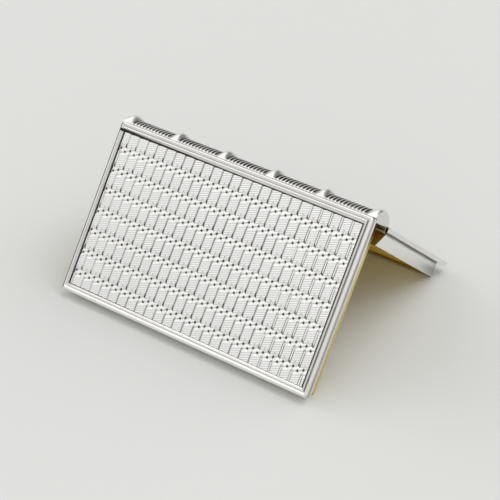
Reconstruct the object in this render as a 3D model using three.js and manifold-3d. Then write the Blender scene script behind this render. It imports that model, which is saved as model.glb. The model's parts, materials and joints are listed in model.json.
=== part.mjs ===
// Silver vinaigrette in the form of a book, opened and stood up like a tent.
// Millimetres, Z up. X runs along the hinge, the front cover faces -Y and the back cover leans to +Y.
// Both halves are drawn closed, lying on the back cover, with Y = 0 at the front cover's spine edge.
import * as THREE from 'three';
import { mergeVertices } from 'three/addons/utils/BufferGeometryUtils.js';
import Module from 'manifold-3d';

const wasm = await Module();
wasm.setup();

// The whole book
const BOOK_WIDTH = 38;
const BOOK_DEPTH = 22.9;
const OPENING_DEGREES = 84.4;
const SOLDER_GAP = 0.03;
const RUNNING_GAP = 0.05;

// Moulded borders on the outer faces of both covers
const BORDER_WIDTH = 1.25;
const OUTER_BEAD_WIDTH = 0.6;
const OUTER_BEAD_FLAT = 0.16;
const INNER_BEAD_WIDTH = 0.3;
const INNER_BEAD_DROP = 0.06;
const BEAD_GROOVE = 0.05;
const BORDER_FILLET = 0.05;
const LID_BORDER_HEIGHT = 0.37;
const BASE_BORDER_HEIGHT = 0.22;

// Front cover with the gilt bezel inside it
const LID_PLATE = 0.5;
const BEZEL_DEPTH = 1.42;
const BEZEL_SIDE_INSET = 0.38;
const BEZEL_FORE_INSET = 0.65;

// Back cover with the page-block wall on it
const BASE_PLATE = 0.4;
const PAGE_HEIGHT = 1.97;
const PAGE_WALL = 0.5;
const PAGE_END_INSET = 1.0;
const PAGE_FORE_INSET = 1.28;
const PAGE_SPINE_CLEARANCE = 1.2;
const PAGE_SLANT_RUN = 1.8;

// Spine
const SPINE_TUCK = 0.52;
const SPINE_BULGE = 0.75;
const SPINE_FOOT_Y = -0.25;
const SPINE_FOOT_Z = 0.55;
const SPINE_HEEL = 0.2;
const SPINE_OVERLAP = 0.1;
const SPINE_BANDS = 6;
const SPINE_ARC_STEPS = 8;
const BAND_HEIGHT = 0.5;
const BAND_STEPS = 5;
const BAND_END_CUT = 0.2;
const REEDS_PER_PANEL = 12;
const REED_PITCH = 0.5;
const REED_HEIGHT = 0.2;

// Main hinge
const HINGE_HEIGHT = 0.5;
const HINGE_END_INSET = 0.05;
const KNUCKLE_COUNT = 7;
const KNUCKLE_RADIUS = 0.45;
const HINGE_PIN_RADIUS = 0.22;
const HINGE_PIN_RECESS = 0.35;
const ROUND_STEPS = 12;

// Pierced grille, its ledge, hinge and lifting tab
const GRILLE_PLATE = 0.3;
const GRILLE_DROP = 0.32;
const LEDGE_THICKNESS = 0.25;
const LEDGE_RAIL = 0.9;
const GRILLE_KNUCKLE_RADIUS = 0.25;
const GRILLE_PIN_RADIUS = 0.12;
const GRILLE_BRACKET_LENGTH = 4;
const GRILLE_CORNER = 0.8;
const FLOWER_COLUMNS = 7;
const FLOWER_ROWS = 3;
const FLOWER_PITCH_X = 4.5;
const FLOWER_PITCH_Y = 4.8;
const PETAL_START = 0.35;
const PETAL_END = 2.05;
const PETAL_SPREAD = 1.05;
const EYELET_RADIUS = 0.5;
const PETAL_STEPS = 3;
const TAB_RADIUS = 1.1;
const TAB_THICKNESS = 0.25;
const TAB_SETBACK = 0.15;

// Scented sponge under the grille
const SPONGE_HEADROOM = 0.12;
const SPONGE_CLEARANCE = 0.3;
const SPONGE_EDGE = 0.25;
const SPONGE_CORNER = 1.2;

// Levels of the closed book, from the back cover's border up
const basePanelZ = BASE_BORDER_HEIGHT + SOLDER_GAP;
const baseInnerZ = basePanelZ + BASE_PLATE;
const pageFootZ = baseInnerZ + SOLDER_GAP;
const pageRimZ = pageFootZ + PAGE_HEIGHT;
const bezelRimZ = pageRimZ + RUNNING_GAP;
const bezelRootZ = bezelRimZ + BEZEL_DEPTH;
const lidInnerZ = bezelRootZ + SOLDER_GAP;
const lidPanelZ = lidInnerZ + LID_PLATE;
const lidBorderZ = lidPanelZ + SOLDER_GAP;

// Places across the closed book, from the spine to the fore edge
const spineInnerY = -SPINE_TUCK;
const hingeY = spineInnerY - SOLDER_GAP - KNUCKLE_RADIUS;
const baseBackY = hingeY - KNUCKLE_RADIUS - SOLDER_GAP;
const pageRimBackY = spineInnerY - PAGE_SPINE_CLEARANCE;
const pageFootBackY = pageRimBackY - PAGE_SLANT_RUN;
const pageForeY = -BOOK_DEPTH + PAGE_FORE_INSET;
const bezelForeY = -BOOK_DEPTH + BEZEL_FORE_INSET;
const bezelBackY = spineInnerY - SOLDER_GAP;
const pageSlope = PAGE_SLANT_RUN / PAGE_HEIGHT;
const pageSlantWall = PAGE_WALL * Math.hypot(1, pageSlope);

// Inner face of the slanted page wall at a level
function pageBackInnerY(z) {
  return pageFootBackY + (z - pageFootZ) * pageSlope - pageSlantWall;
}

// The grille's plate lies a little below the page wall's rim
const pageInnerX = BOOK_WIDTH / 2 - PAGE_END_INSET - PAGE_WALL;
const pageInnerForeY = pageForeY + PAGE_WALL;
const grilleTopZ = pageRimZ - GRILLE_DROP;
const grilleFootZ = grilleTopZ - GRILLE_PLATE;
const ledgeTopZ = grilleFootZ - SOLDER_GAP;
const ledgeFootZ = ledgeTopZ - LEDGE_THICKNESS;
const grilleHingeZ = ledgeTopZ + RUNNING_GAP + GRILLE_KNUCKLE_RADIUS;
const grilleHingeFloorZ = grilleHingeZ - GRILLE_KNUCKLE_RADIUS;
const grilleHingeY = pageBackInnerY(grilleHingeFloorZ) - RUNNING_GAP - GRILLE_KNUCKLE_RADIUS;
const grilleBackY = grilleHingeY - GRILLE_KNUCKLE_RADIUS - SOLDER_GAP;
const grilleForeY = pageInnerForeY + RUNNING_GAP;
const grilleHalfX = pageInnerX - RUNNING_GAP;

const SILVER = { color: 0xdcdcd8, roughness: 0.22, metalness: 1 };
const TURNED_SILVER = { color: 0xd2d2ce, roughness: 0.4, metalness: 1 };
const GILT = { color: 0xcfa548, roughness: 0.28, metalness: 1 };
const STEEL = { color: 0x8c8a86, roughness: 0.35, metalness: 1 };
const SPONGE = { color: 0xc9b07a, roughness: 0.95, metalness: 0 };

function piece(name, geometry, finish) {
  const mesh = new THREE.Mesh(geometry, new THREE.MeshStandardMaterial(finish));
  mesh.name = name;
  return mesh;
}

// Turns a shape drawn in (Y, Z) and extruded along its own normal to run along X
const ALONG_X = new THREE.Matrix4().makeBasis(
  new THREE.Vector3(0, 1, 0),
  new THREE.Vector3(0, 0, 1),
  new THREE.Vector3(1, 0, 0),
);

function outline(points) {
  return new THREE.Shape(points.map(([across, up]) => new THREE.Vector2(across, up)));
}

function prismAlongX(points, length) {
  const geometry = new THREE.ExtrudeGeometry(outline(points), { depth: length, bevelEnabled: false });
  return geometry.translate(0, 0, -length / 2).applyMatrix4(ALONG_X);
}

function slab(halfX, foreY, backY, footZ, topZ) {
  const geometry = new THREE.BoxGeometry(2 * halfX, backY - foreY, topZ - footZ);
  return geometry.translate(0, (foreY + backY) / 2, (footZ + topZ) / 2);
}

function solidOf(geometry) {
  const bare = geometry.clone();
  bare.deleteAttribute('normal');
  bare.deleteAttribute('uv');
  const merged = mergeVertices(bare);
  const vertProperties = Float32Array.from(merged.attributes.position.array);
  const triVerts = Uint32Array.from(merged.index.array);
  return new wasm.Manifold(new wasm.Mesh({ numProp: 3, vertProperties, triVerts }));
}

function cutAway(body, tool) {
  const mesh = solidOf(body).subtract(solidOf(tool)).getMesh();
  const geometry = new THREE.BufferGeometry();
  geometry.setAttribute('position', new THREE.BufferAttribute(mesh.vertProperties, mesh.numProp));
  geometry.setIndex(new THREE.BufferAttribute(mesh.triVerts, 1));
  geometry.computeVertexNormals();
  return geometry;
}

// Skins a row of like rings that follow each other along X, and closes both ends
function loft(rings) {
  const count = rings[0].length;
  const lastRing = (rings.length - 1) * count;
  const index = [];
  for (let ring = 0; ring < lastRing; ring += count) {
    for (let side = 0; side < count; side += 1) {
      const here = ring + side;
      const next = ring + ((side + 1) % count);
      index.push(here, next, next + count, here, next + count, here + count);
    }
  }
  const section = rings[0].map((point) => new THREE.Vector2(point.y, point.z));
  for (const [a, b, c] of THREE.ShapeUtils.triangulateShape(section, [])) {
    index.push(a, c, b, lastRing + a, lastRing + b, lastRing + c);
  }
  const geometry = new THREE.BufferGeometry().setFromPoints(rings.flat());
  geometry.setIndex(index);
  geometry.computeVertexNormals();
  return geometry;
}

function rod(radius, length) {
  return new THREE.CylinderGeometry(radius, radius, length, ROUND_STEPS).rotateZ(Math.PI / 2);
}

function tube(radius, bore, length) {
  const half = length / 2;
  const profile = [[bore, -half], [radius, -half], [radius, half], [bore, half], [bore, -half]];
  const points = profile.map(([across, along]) => new THREE.Vector2(across, along));
  return new THREE.LatheGeometry(points, ROUND_STEPS).rotateZ(Math.PI / 2);
}

// Section of a border: outer bead rubbed flat on its crown, smaller inner bead, then a hollow to the panel
function borderSection(height) {
  const section = new THREE.Shape();
  const innerBeadStart = OUTER_BEAD_WIDTH;
  const innerBeadMiddle = innerBeadStart + INNER_BEAD_WIDTH / 2;
  const innerBeadEnd = innerBeadStart + INNER_BEAD_WIDTH;
  const innerBeadTop = height - INNER_BEAD_DROP;
  const innerBeadSide = (BORDER_FILLET + innerBeadTop) / 2;
  section.moveTo(BORDER_WIDTH, 0);
  section.lineTo(BORDER_WIDTH, BORDER_FILLET);
  section.quadraticCurveTo(innerBeadEnd, BORDER_FILLET, innerBeadEnd, innerBeadSide);
  section.quadraticCurveTo(innerBeadEnd, innerBeadTop, innerBeadMiddle, innerBeadTop);
  section.lineTo(innerBeadStart, innerBeadTop - BEAD_GROOVE);
  section.quadraticCurveTo(innerBeadStart, height, (OUTER_BEAD_WIDTH + OUTER_BEAD_FLAT) / 2, height);
  section.lineTo((OUTER_BEAD_WIDTH - OUTER_BEAD_FLAT) / 2, height);
  section.quadraticCurveTo(0, height, 0, BORDER_FILLET);
  section.lineTo(0, 0);
  return section;
}

// One border strip along X with its outer edge on Y = 0, mitred at both ends
function borderStrip(length, height) {
  const settings = { depth: length, bevelEnabled: false, curveSegments: 3 };
  const geometry = new THREE.ExtrudeGeometry(borderSection(height), settings).applyMatrix4(ALONG_X);
  const position = geometry.attributes.position;
  for (let vertex = 0; vertex < position.count; vertex += 1) {
    const mitre = position.getY(vertex) + SOLDER_GAP;
    const atStart = position.getX(vertex) < length / 2;
    position.setX(vertex, position.getX(vertex) + (atStart ? mitre : -mitre) - length / 2);
  }
  geometry.computeVertexNormals();
  return geometry;
}

// Four strips round a panel that is centred on the origin and faces +Z
function borderFrame(width, depth, height, [fore, right, back, left]) {
  const frame = new THREE.Group();
  const sides = [[fore, width, depth], [right, depth, width], [back, width, depth], [left, depth, width]];
  sides.forEach(([name, length, across], quarter) => {
    const strip = piece(name, borderStrip(length, height), SILVER);
    strip.position.set(0, -across / 2, 0);
    const side = new THREE.Group();
    side.rotation.z = quarter * Math.PI / 2;
    side.add(strip);
    frame.add(side);
  });
  return frame;
}

// Rise of the spine's surface over the hollows of its reeding, along the spine.
// Each raised band is a half round; the two end bands are cut off before they fall to nothing.
const panelLength = REEDS_PER_PANEL * REED_PITCH;
const bandWidth = (BOOK_WIDTH - (SPINE_BANDS - 1) * panelLength) / SPINE_BANDS;

function spineStations() {
  const stations = [];
  let x = -BOOK_WIDTH / 2;
  for (let band = 0; band < SPINE_BANDS; band += 1) {
    const firstTurn = band === 0 ? BAND_END_CUT : 0;
    const lastTurn = band === SPINE_BANDS - 1 ? 1 - BAND_END_CUT : 1;
    for (let step = 0; step <= BAND_STEPS; step += 1) {
      const along = step / BAND_STEPS;
      const turn = firstTurn + along * (lastTurn - firstTurn);
      stations.push([x + along * bandWidth, BAND_HEIGHT * Math.sin(Math.PI * turn)]);
    }
    x += bandWidth;
    const reeds = band < SPINE_BANDS - 1 ? REEDS_PER_PANEL : 0;
    for (let reed = 0; reed < reeds; reed += 1) {
      stations.push([x + REED_PITCH / 2, REED_HEIGHT]);
      x += REED_PITCH;
      if (reed < reeds - 1) {
        stations.push([x, 0]);
      }
    }
  }
  return stations;
}

// Section of the spine: a bowed back on a flat inner face, notched under the front cover
function spineRing(x, rise) {
  const foot = new THREE.Vector2(SPINE_FOOT_Y, SPINE_FOOT_Z);
  const head = new THREE.Vector2(SOLDER_GAP, lidPanelZ + SPINE_OVERLAP);
  const chord = head.clone().sub(foot);
  const radius = (chord.lengthSq() / 4 + SPINE_BULGE ** 2) / (2 * SPINE_BULGE);
  const outward = new THREE.Vector2(chord.y, -chord.x).normalize();
  const centre = foot.clone().add(head).multiplyScalar(0.5);
  centre.addScaledVector(outward, SPINE_BULGE - radius);
  const halfTurn = Math.asin(chord.length() / 2 / radius);
  const ring = [];
  for (let step = 0; step <= SPINE_ARC_STEPS; step += 1) {
    const along = step / SPINE_ARC_STEPS;
    const turn = outward.angle() + (2 * along - 1) * halfTurn;
    const reach = radius + rise * Math.sqrt(Math.max(0, Math.sin(Math.PI * along)));
    ring.push(new THREE.Vector3(x, centre.x + reach * Math.cos(turn), centre.y + reach * Math.sin(turn)));
  }
  ring.push(new THREE.Vector3(x, head.x, bezelRootZ));
  ring.push(new THREE.Vector3(x, spineInnerY, bezelRootZ));
  ring.push(new THREE.Vector3(x, spineInnerY, SPINE_FOOT_Z + SPINE_HEEL));
  return ring;
}

// Front cover, bezel and spine

function frontCover() {
  return piece('front_cover', slab(BOOK_WIDTH / 2, -BOOK_DEPTH, 0, lidInnerZ, lidPanelZ), TURNED_SILVER);
}

function lidBorders() {
  const names = ['lid_border_fore', 'lid_border_right', 'lid_border_spine', 'lid_border_left'];
  const frame = borderFrame(BOOK_WIDTH, BOOK_DEPTH, LID_BORDER_HEIGHT, names);
  frame.position.set(0, -BOOK_DEPTH / 2, lidBorderZ);
  return frame;
}

// The bezel's opening lines up with the page wall's, so the grille can rise into it
function lidBezel() {
  const outerX = BOOK_WIDTH / 2 - BEZEL_SIDE_INSET;
  const block = slab(outerX, bezelForeY, bezelBackY, bezelRimZ, bezelRootZ);
  const underZ = bezelRimZ - BEZEL_DEPTH;
  const overZ = bezelRootZ + BEZEL_DEPTH;
  const hollow = slab(pageInnerX, pageInnerForeY, pageBackInnerY(pageRimZ), underZ, overZ);
  return piece('lid_bezel', cutAway(block, hollow), GILT);
}

function spine() {
  return piece('spine', loft(spineStations().map(([x, rise]) => spineRing(x, rise))), SILVER);
}

// Back cover and page-block wall

function backCover() {
  const plate = slab(BOOK_WIDTH / 2, -BOOK_DEPTH, baseBackY, basePanelZ, baseInnerZ);
  return piece('back_cover', plate, TURNED_SILVER);
}

function baseBorders() {
  const names = ['base_border_fore', 'base_border_left', 'base_border_hinge', 'base_border_right'];
  const depth = BOOK_DEPTH + baseBackY;
  const frame = borderFrame(BOOK_WIDTH, depth, BASE_BORDER_HEIGHT, names);
  frame.rotation.y = Math.PI;
  frame.position.set(0, (baseBackY - BOOK_DEPTH) / 2, BASE_BORDER_HEIGHT);
  return frame;
}

function pageWall() {
  const outerX = BOOK_WIDTH / 2 - PAGE_END_INSET;
  const block = prismAlongX([
    [pageForeY, pageFootZ],
    [pageFootBackY, pageFootZ],
    [pageRimBackY, pageRimZ],
    [pageForeY, pageRimZ],
  ], 2 * outerX);
  const underZ = pageFootZ - PAGE_WALL;
  const overZ = pageRimZ + PAGE_WALL;
  const hollow = prismAlongX([
    [pageInnerForeY, underZ],
    [pageBackInnerY(underZ), underZ],
    [pageBackInnerY(overZ), overZ],
    [pageInnerForeY, overZ],
  ], 2 * pageInnerX);
  return piece('page_wall', cutAway(block, hollow), SILVER);
}

// Main hinge: tubes that belong to the two halves by turns, on one pin

function hingeKnuckle(slot, name) {
  const hingeLength = BOOK_WIDTH - 2 * HINGE_END_INSET;
  const pitch = (hingeLength + RUNNING_GAP) / KNUCKLE_COUNT;
  const bore = HINGE_PIN_RADIUS + RUNNING_GAP;
  const knuckle = piece(name, tube(KNUCKLE_RADIUS, bore, pitch - RUNNING_GAP), SILVER);
  knuckle.position.set((slot - (KNUCKLE_COUNT - 1) / 2) * pitch, hingeY, HINGE_HEIGHT);
  return knuckle;
}

function hingeKnuckles(prefix, firstSlot) {
  const knuckles = [];
  for (let slot = firstSlot; slot < KNUCKLE_COUNT; slot += 2) {
    knuckles.push(hingeKnuckle(slot, `${prefix}_${knuckles.length + 1}`));
  }
  return knuckles;
}

function hingePin() {
  const length = BOOK_WIDTH - 2 * HINGE_END_INSET - 2 * HINGE_PIN_RECESS;
  const pin = piece('hinge_pin', rod(HINGE_PIN_RADIUS, length), STEEL);
  pin.position.set(0, hingeY, HINGE_HEIGHT);
  return pin;
}

// Grille and what carries it

function grilleLedge() {
  const outerX = pageInnerX - SOLDER_GAP;
  const foreY = pageInnerForeY + SOLDER_GAP;
  const backY = pageBackInnerY(ledgeFootZ) - SOLDER_GAP;
  const block = slab(outerX, foreY, backY, ledgeFootZ, ledgeTopZ);
  const innerFootZ = ledgeFootZ - LEDGE_THICKNESS;
  const innerTopZ = ledgeTopZ + LEDGE_THICKNESS;
  const hollow = slab(outerX - LEDGE_RAIL, foreY + LEDGE_RAIL, backY - LEDGE_RAIL, innerFootZ, innerTopZ);
  return piece('grille_ledge', cutAway(block, hollow), GILT);
}

function petal(centreX, centreY, quarter) {
  const heading = Math.PI / 4 + quarter * Math.PI / 2;
  const along = new THREE.Vector2(Math.cos(heading), Math.sin(heading));
  const aside = new THREE.Vector2(-along.y, along.x).multiplyScalar(PETAL_SPREAD);
  const centre = new THREE.Vector2(centreX, centreY);
  const root = centre.clone().addScaledVector(along, PETAL_START);
  const tip = centre.clone().addScaledVector(along, PETAL_END);
  const belly = root.clone().add(tip).multiplyScalar(0.5);
  const shape = new THREE.Shape();
  shape.moveTo(root.x, root.y);
  shape.quadraticCurveTo(belly.x + aside.x, belly.y + aside.y, tip.x, tip.y);
  shape.quadraticCurveTo(belly.x - aside.x, belly.y - aside.y, root.x, root.y);
  return shape;
}

function eyelet(centreX, centreY) {
  return new THREE.Shape().absarc(centreX, centreY, EYELET_RADIUS, 0, 2 * Math.PI);
}

// Piercings in rows: a four-petalled flower at each place and a round eyelet between four flowers
function piercings(middleY) {
  const holes = [];
  for (let column = 0; column < FLOWER_COLUMNS; column += 1) {
    for (let row = 0; row < FLOWER_ROWS; row += 1) {
      const x = (column - (FLOWER_COLUMNS - 1) / 2) * FLOWER_PITCH_X;
      const y = middleY + (row - (FLOWER_ROWS - 1) / 2) * FLOWER_PITCH_Y;
      for (let quarter = 0; quarter < 4; quarter += 1) {
        holes.push(petal(x, y, quarter));
      }
      if (column < FLOWER_COLUMNS - 1) {
        holes.push(eyelet(x + FLOWER_PITCH_X / 2, y));
      }
    }
  }
  return holes;
}

function roundedRectangle(halfX, foreY, backY, corner) {
  const shape = new THREE.Shape();
  shape.absarc(halfX - corner, backY - corner, corner, 0, Math.PI / 2);
  shape.absarc(corner - halfX, backY - corner, corner, Math.PI / 2, Math.PI);
  shape.absarc(corner - halfX, foreY + corner, corner, Math.PI, 1.5 * Math.PI);
  shape.absarc(halfX - corner, foreY + corner, corner, 1.5 * Math.PI, 2 * Math.PI);
  return shape;
}

function grillePlate() {
  const plateShape = roundedRectangle(grilleHalfX, grilleForeY, grilleBackY, GRILLE_CORNER);
  const holeShapes = piercings((grilleForeY + grilleBackY) / 2);
  const settings = { bevelEnabled: false, curveSegments: PETAL_STEPS };
  const plate = new THREE.ExtrudeGeometry(plateShape, { ...settings, depth: GRILLE_PLATE });
  const holes = new THREE.ExtrudeGeometry(holeShapes, { ...settings, depth: 3 * GRILLE_PLATE });
  const pierced = cutAway(plate, holes.translate(0, 0, -GRILLE_PLATE));
  return piece('grille', pierced.translate(0, 0, grilleFootZ), GILT);
}

function grilleTube(name, startX, endX) {
  const bore = GRILLE_PIN_RADIUS + RUNNING_GAP;
  const knuckle = piece(name, tube(GRILLE_KNUCKLE_RADIUS, bore, endX - startX), GILT);
  knuckle.position.set((startX + endX) / 2, grilleHingeY, grilleHingeZ);
  return knuckle;
}

const bracketInnerX = grilleHalfX - GRILLE_BRACKET_LENGTH;

function grilleBrackets() {
  return [
    grilleTube('grille_bracket_left', -grilleHalfX, -bracketInnerX),
    grilleTube('grille_bracket_right', bracketInnerX, grilleHalfX),
  ];
}

function grilleKnuckle() {
  const reach = bracketInnerX - RUNNING_GAP;
  return grilleTube('grille_knuckle', -reach, reach);
}

function grillePin() {
  const pin = piece('grille_pin', rod(GRILLE_PIN_RADIUS, 2 * grilleHalfX), STEEL);
  pin.position.set(0, grilleHingeY, grilleHingeZ);
  return pin;
}

function grilleTab() {
  const shape = new THREE.Shape();
  shape.absarc(0, 0, TAB_RADIUS, 0, Math.PI);
  const settings = { depth: TAB_THICKNESS, bevelEnabled: false, curveSegments: ROUND_STEPS / 2 };
  const geometry = new THREE.ExtrudeGeometry(shape, settings);
  return piece('grille_tab', geometry.translate(0, grilleForeY + TAB_SETBACK, grilleTopZ + SOLDER_GAP), GILT);
}

function sponge() {
  const footZ = baseInnerZ + SOLDER_GAP;
  const thickness = ledgeFootZ - SPONGE_HEADROOM - footZ;
  const halfX = pageInnerX - SPONGE_CLEARANCE - SPONGE_EDGE;
  const foreY = pageInnerForeY + SPONGE_CLEARANCE + SPONGE_EDGE;
  const backY = pageBackInnerY(footZ) - SPONGE_CLEARANCE - SPONGE_EDGE;
  const shape = roundedRectangle(halfX, foreY, backY, SPONGE_CORNER);
  const settings = {
    depth: thickness - 2 * SPONGE_EDGE,
    bevelThickness: SPONGE_EDGE,
    bevelSize: SPONGE_EDGE,
    bevelSegments: 2,
    curveSegments: PETAL_STEPS,
  };
  const geometry = new THREE.ExtrudeGeometry(shape, settings).translate(0, 0, footZ + SPONGE_EDGE);
  return piece('sponge', geometry, SPONGE);
}

// The two halves, joined at the hinge axis and opened to the hinge's stop

const box = new THREE.Group();
box.add(backCover(), baseBorders(), pageWall(), ...hingeKnuckles('box_knuckle', 0), hingePin());
box.add(grilleLedge(), ...grilleBrackets(), grillePin(), sponge());
box.add(grillePlate(), grilleKnuckle(), grilleTab());

const lid = new THREE.Group();
lid.add(frontCover(), lidBorders(), lidBezel(), spine(), ...hingeKnuckles('lid_knuckle', 1));
lid.position.set(0, -hingeY, -HINGE_HEIGHT);

const openLid = new THREE.Group();
openLid.add(lid);
openLid.position.set(0, hingeY, HINGE_HEIGHT);
openLid.rotation.x = -THREE.MathUtils.degToRad(OPENING_DEGREES);

// The tent stands on the fore rim corners of the bezel and of the page wall
const origin = new THREE.Vector2();
const bezelFoot = new THREE.Vector2(bezelForeY - hingeY, bezelRimZ - HINGE_HEIGHT);
bezelFoot.rotateAround(origin, openLid.rotation.x);
const pageFoot = new THREE.Vector2(pageForeY - hingeY, pageRimZ - HINGE_HEIGHT);
const footLine = pageFoot.sub(bezelFoot);

const tent = new THREE.Group();
tent.add(box, openLid);
tent.rotation.x = -footLine.angle();

// The origin is under the middle of the standing book
const vinaigrette = new THREE.Group();
vinaigrette.add(tent);
vinaigrette.updateMatrixWorld(true);
const bounds = new THREE.Box3().setFromObject(vinaigrette, true);
const middle = bounds.getCenter(new THREE.Vector3());
vinaigrette.position.set(-middle.x, -middle.y, -bounds.min.z);

export default vinaigrette;
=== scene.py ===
"""A silver vinaigrette in the form of a book, open and standing like a tent on a pale table."""
import json
import math

import bmesh
import bpy
from mathutils import Matrix, Vector, noise


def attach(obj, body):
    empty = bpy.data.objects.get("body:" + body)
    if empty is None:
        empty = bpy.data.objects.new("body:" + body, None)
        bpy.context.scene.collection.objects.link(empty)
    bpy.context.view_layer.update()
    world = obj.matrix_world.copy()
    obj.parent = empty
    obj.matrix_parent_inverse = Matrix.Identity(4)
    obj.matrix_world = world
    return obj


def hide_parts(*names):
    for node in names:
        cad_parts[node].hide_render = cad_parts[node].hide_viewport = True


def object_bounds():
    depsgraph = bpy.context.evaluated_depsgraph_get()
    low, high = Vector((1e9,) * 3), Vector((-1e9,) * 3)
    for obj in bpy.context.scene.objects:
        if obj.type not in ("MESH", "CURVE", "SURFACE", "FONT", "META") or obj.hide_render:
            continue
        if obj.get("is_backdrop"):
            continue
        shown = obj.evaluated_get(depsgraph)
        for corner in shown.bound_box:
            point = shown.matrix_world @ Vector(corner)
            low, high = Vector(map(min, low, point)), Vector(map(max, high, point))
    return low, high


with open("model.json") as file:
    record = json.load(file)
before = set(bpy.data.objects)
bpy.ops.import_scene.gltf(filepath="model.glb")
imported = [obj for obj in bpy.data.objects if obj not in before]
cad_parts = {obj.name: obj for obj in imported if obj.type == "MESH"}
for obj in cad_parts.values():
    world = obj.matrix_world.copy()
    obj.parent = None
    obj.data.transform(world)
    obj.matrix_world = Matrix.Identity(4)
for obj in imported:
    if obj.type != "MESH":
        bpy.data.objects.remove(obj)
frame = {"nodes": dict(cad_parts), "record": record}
cad_low, cad_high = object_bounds()

MM = 0.001
TINY = 1e-6
MERGE_DISTANCE = 0.001 * MM

# Camera of the photograph
PHOTO_PIXELS = 500
FOCAL_PIXELS = 1721.6885
SENSOR_WIDTH = 36.0
CAMERA_BEARING = math.radians(35.7538)
CAMERA_HEIGHT_ANGLE = math.radians(35.5974)
CAMERA_ROLL = math.radians(0.3174)
CAMERA_DISTANCE = 223.6373 * MM
CAMERA_ASIDE = -0.8404 * MM
CAMERA_RAISE = 4.0973 * MM
CAMERA_NEAREST = 10 * MM

# Covers and their borders; sides are the right, upper, left and lower one
COVER_CORNER = 0.45 * MM
SMALLEST_CORNER = 0.02 * MM
COVER_EDGE = 0.06 * MM
CORNER_STEPS = 6
FRONT_BORDER_WIDTHS = (1.3 * MM, 1.22 * MM, 0.84 * MM, 1.1 * MM)
BACK_BORDER_WIDTHS = (1.15 * MM, 1.2 * MM, 1.25 * MM, 1.1 * MM)
FRONT_BEAD_SHARES = (0.52, 0.33, 0.5, 0.6)
BACK_BEAD_SHARES = (0.43, 0.43, 0.43, 0.43)
# Darkening on each side, on its outer edge, beads, groove and slope: tarnish, and painted shade on
# the edge and slope; and how much lighter the slope is made at the side's left end and from its middle on
FRONT_BORDER_GRIME_AND_SHADE = (
    (0.55, 0.0, 0.65, 2.0, 0.3, 0.3), (0.3, 0.0, 0.2, 1.2, 0.0, 0.45),
    (11.0, 0.06, 0.1, 2.0, 0.1, 0.1), (0.1, 0.0, 0.05, 1.5, 0.4, 0.75))
BACK_BORDER_GRIME_AND_SHADE = (
    (0.3, 0.05, 0.7, 1.6, 0.3, 0.3), (0.3, 0.0, 0.6, 1.6, 0.2, 0.6),
    (0.0, 0.05, 0.6, 1.6, 0.3, 0.3), (0.2, 0.0, 0.6, 1.6, 0.4, 0.6))
SLOPE_FADE_BY = 0.45
SLOPE_FADE_EDGE = 0.25
BORDER_SIDE_STEPS = 10
OUTER_BEAD_SHARE = 0.43
OUTER_BEAD_FOOT = 0.25
INNER_BEAD_SHARE = 0.22
BEAD_GROOVE_SHARE = 0.09
BEAD_GROOVE_LEVEL = 0.42
INNER_BEAD_LEVEL = 0.88
BORDER_SINK = 0.045 * MM
SLOPE_POINTS = ((0.0, 0.3), (0.25, 0.12), (0.5, 0.07), (0.75, 0.04), (1.0, 0.02))
# Darkening along the outer bead's foot: painted shade of the edge, and tarnish
EDGE_GRIME_AND_SHADE = (1.0, 1.0, 0.6, 0.3, 0.1)
GROOVE_GRIME = (1.0, 0.9, 0.5)
BEAD_STEPS = 9
BEAD_FULLNESS = 2.3
EDGE_PART, BEAD_PART, GROOVE_PART, SLOPE_PART = range(4)

# Engine turning
COLUMN_PITCH = 1.462 * MM
LINE_PITCH = 0.29 * MM
BLOCK_LINES = 7
CYCLE_LINES = 9
CYCLE_RUNS = 3
LINE_ROWS = 3
CHAIN_COLUMNS = 1.5
DROP_WIDTH = 0.19 * MM
RUN_GAP = 0.0546 * MM
LAND_LEAN = 0.1 * MM
DROP_DEPTH = 0.03 * MM
TURNING_SIZES = {
    "Column pitch": COLUMN_PITCH, "Line pitch": LINE_PITCH, "Line rise": 0.4551 * MM,
    "Drop width": DROP_WIDTH, "Drop depth": DROP_DEPTH, "Run gap": RUN_GAP,
    "Groove depth": 0.02 * MM, "Land lean": LAND_LEAN,
    "Dot spread": 0.085 * MM, "Dot radius": 0.225 * MM, "Dot edge": 0.07 * MM}
HALF_COLUMNS = 52
COLUMN_CUTS = 7
FIRST_COLUMN = 0.224 * MM
FIRST_LINE = -2.5865 * MM
SPARE_LINES = 13
PANEL_OVERLAP = 0.12 * MM
TURNING_SINK = 0.02 * MM
TURNING_TOP = LAND_LEAN + DROP_DEPTH
STROKE_SIDES = 0.4
DOUBLED_FROM = 0.79
DOT_SLIMNESS = 1.6
# Size of a chain's lowest dot, and how the size changes past a share of the chain's climb
FIRST_DOT_SIZE = 0.6
DOT_SIZE_CHANGES = ((0.17, 0.4), (0.5, -0.12))
LINK_SPREAD = 1.8
FOOT_SPREAD = 2.5
CROWDED_DEPTH = 0.5
LINE_GRIME = 0.1
STROKE_GRIME = 0.82
DOT_GRIME = 1.0
LINK_GRIME = 0.4
# Lines, strokes and links are made lighter towards the panel's left end, up to a share of its width
LEFT_END_DARKNESS = 0.4
LEFT_FADE_REACH = 0.3

# Spine
SPINE_BANDS = 6
BAND_HEIGHT = 0.65 * MM
BAND_SWELL = 0.8
BAND_ROUNDNESS = 0.9
REED_ROUNDNESS = 0.4
BAND_END_CUT = 0.2
STATION_SLACK = 0.002 * MM
REEDS_PER_PANEL = 12
REED_PITCH = 0.5 * MM
REED_HEIGHT = 0.2 * MM
REED_STEPS = 12
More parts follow.
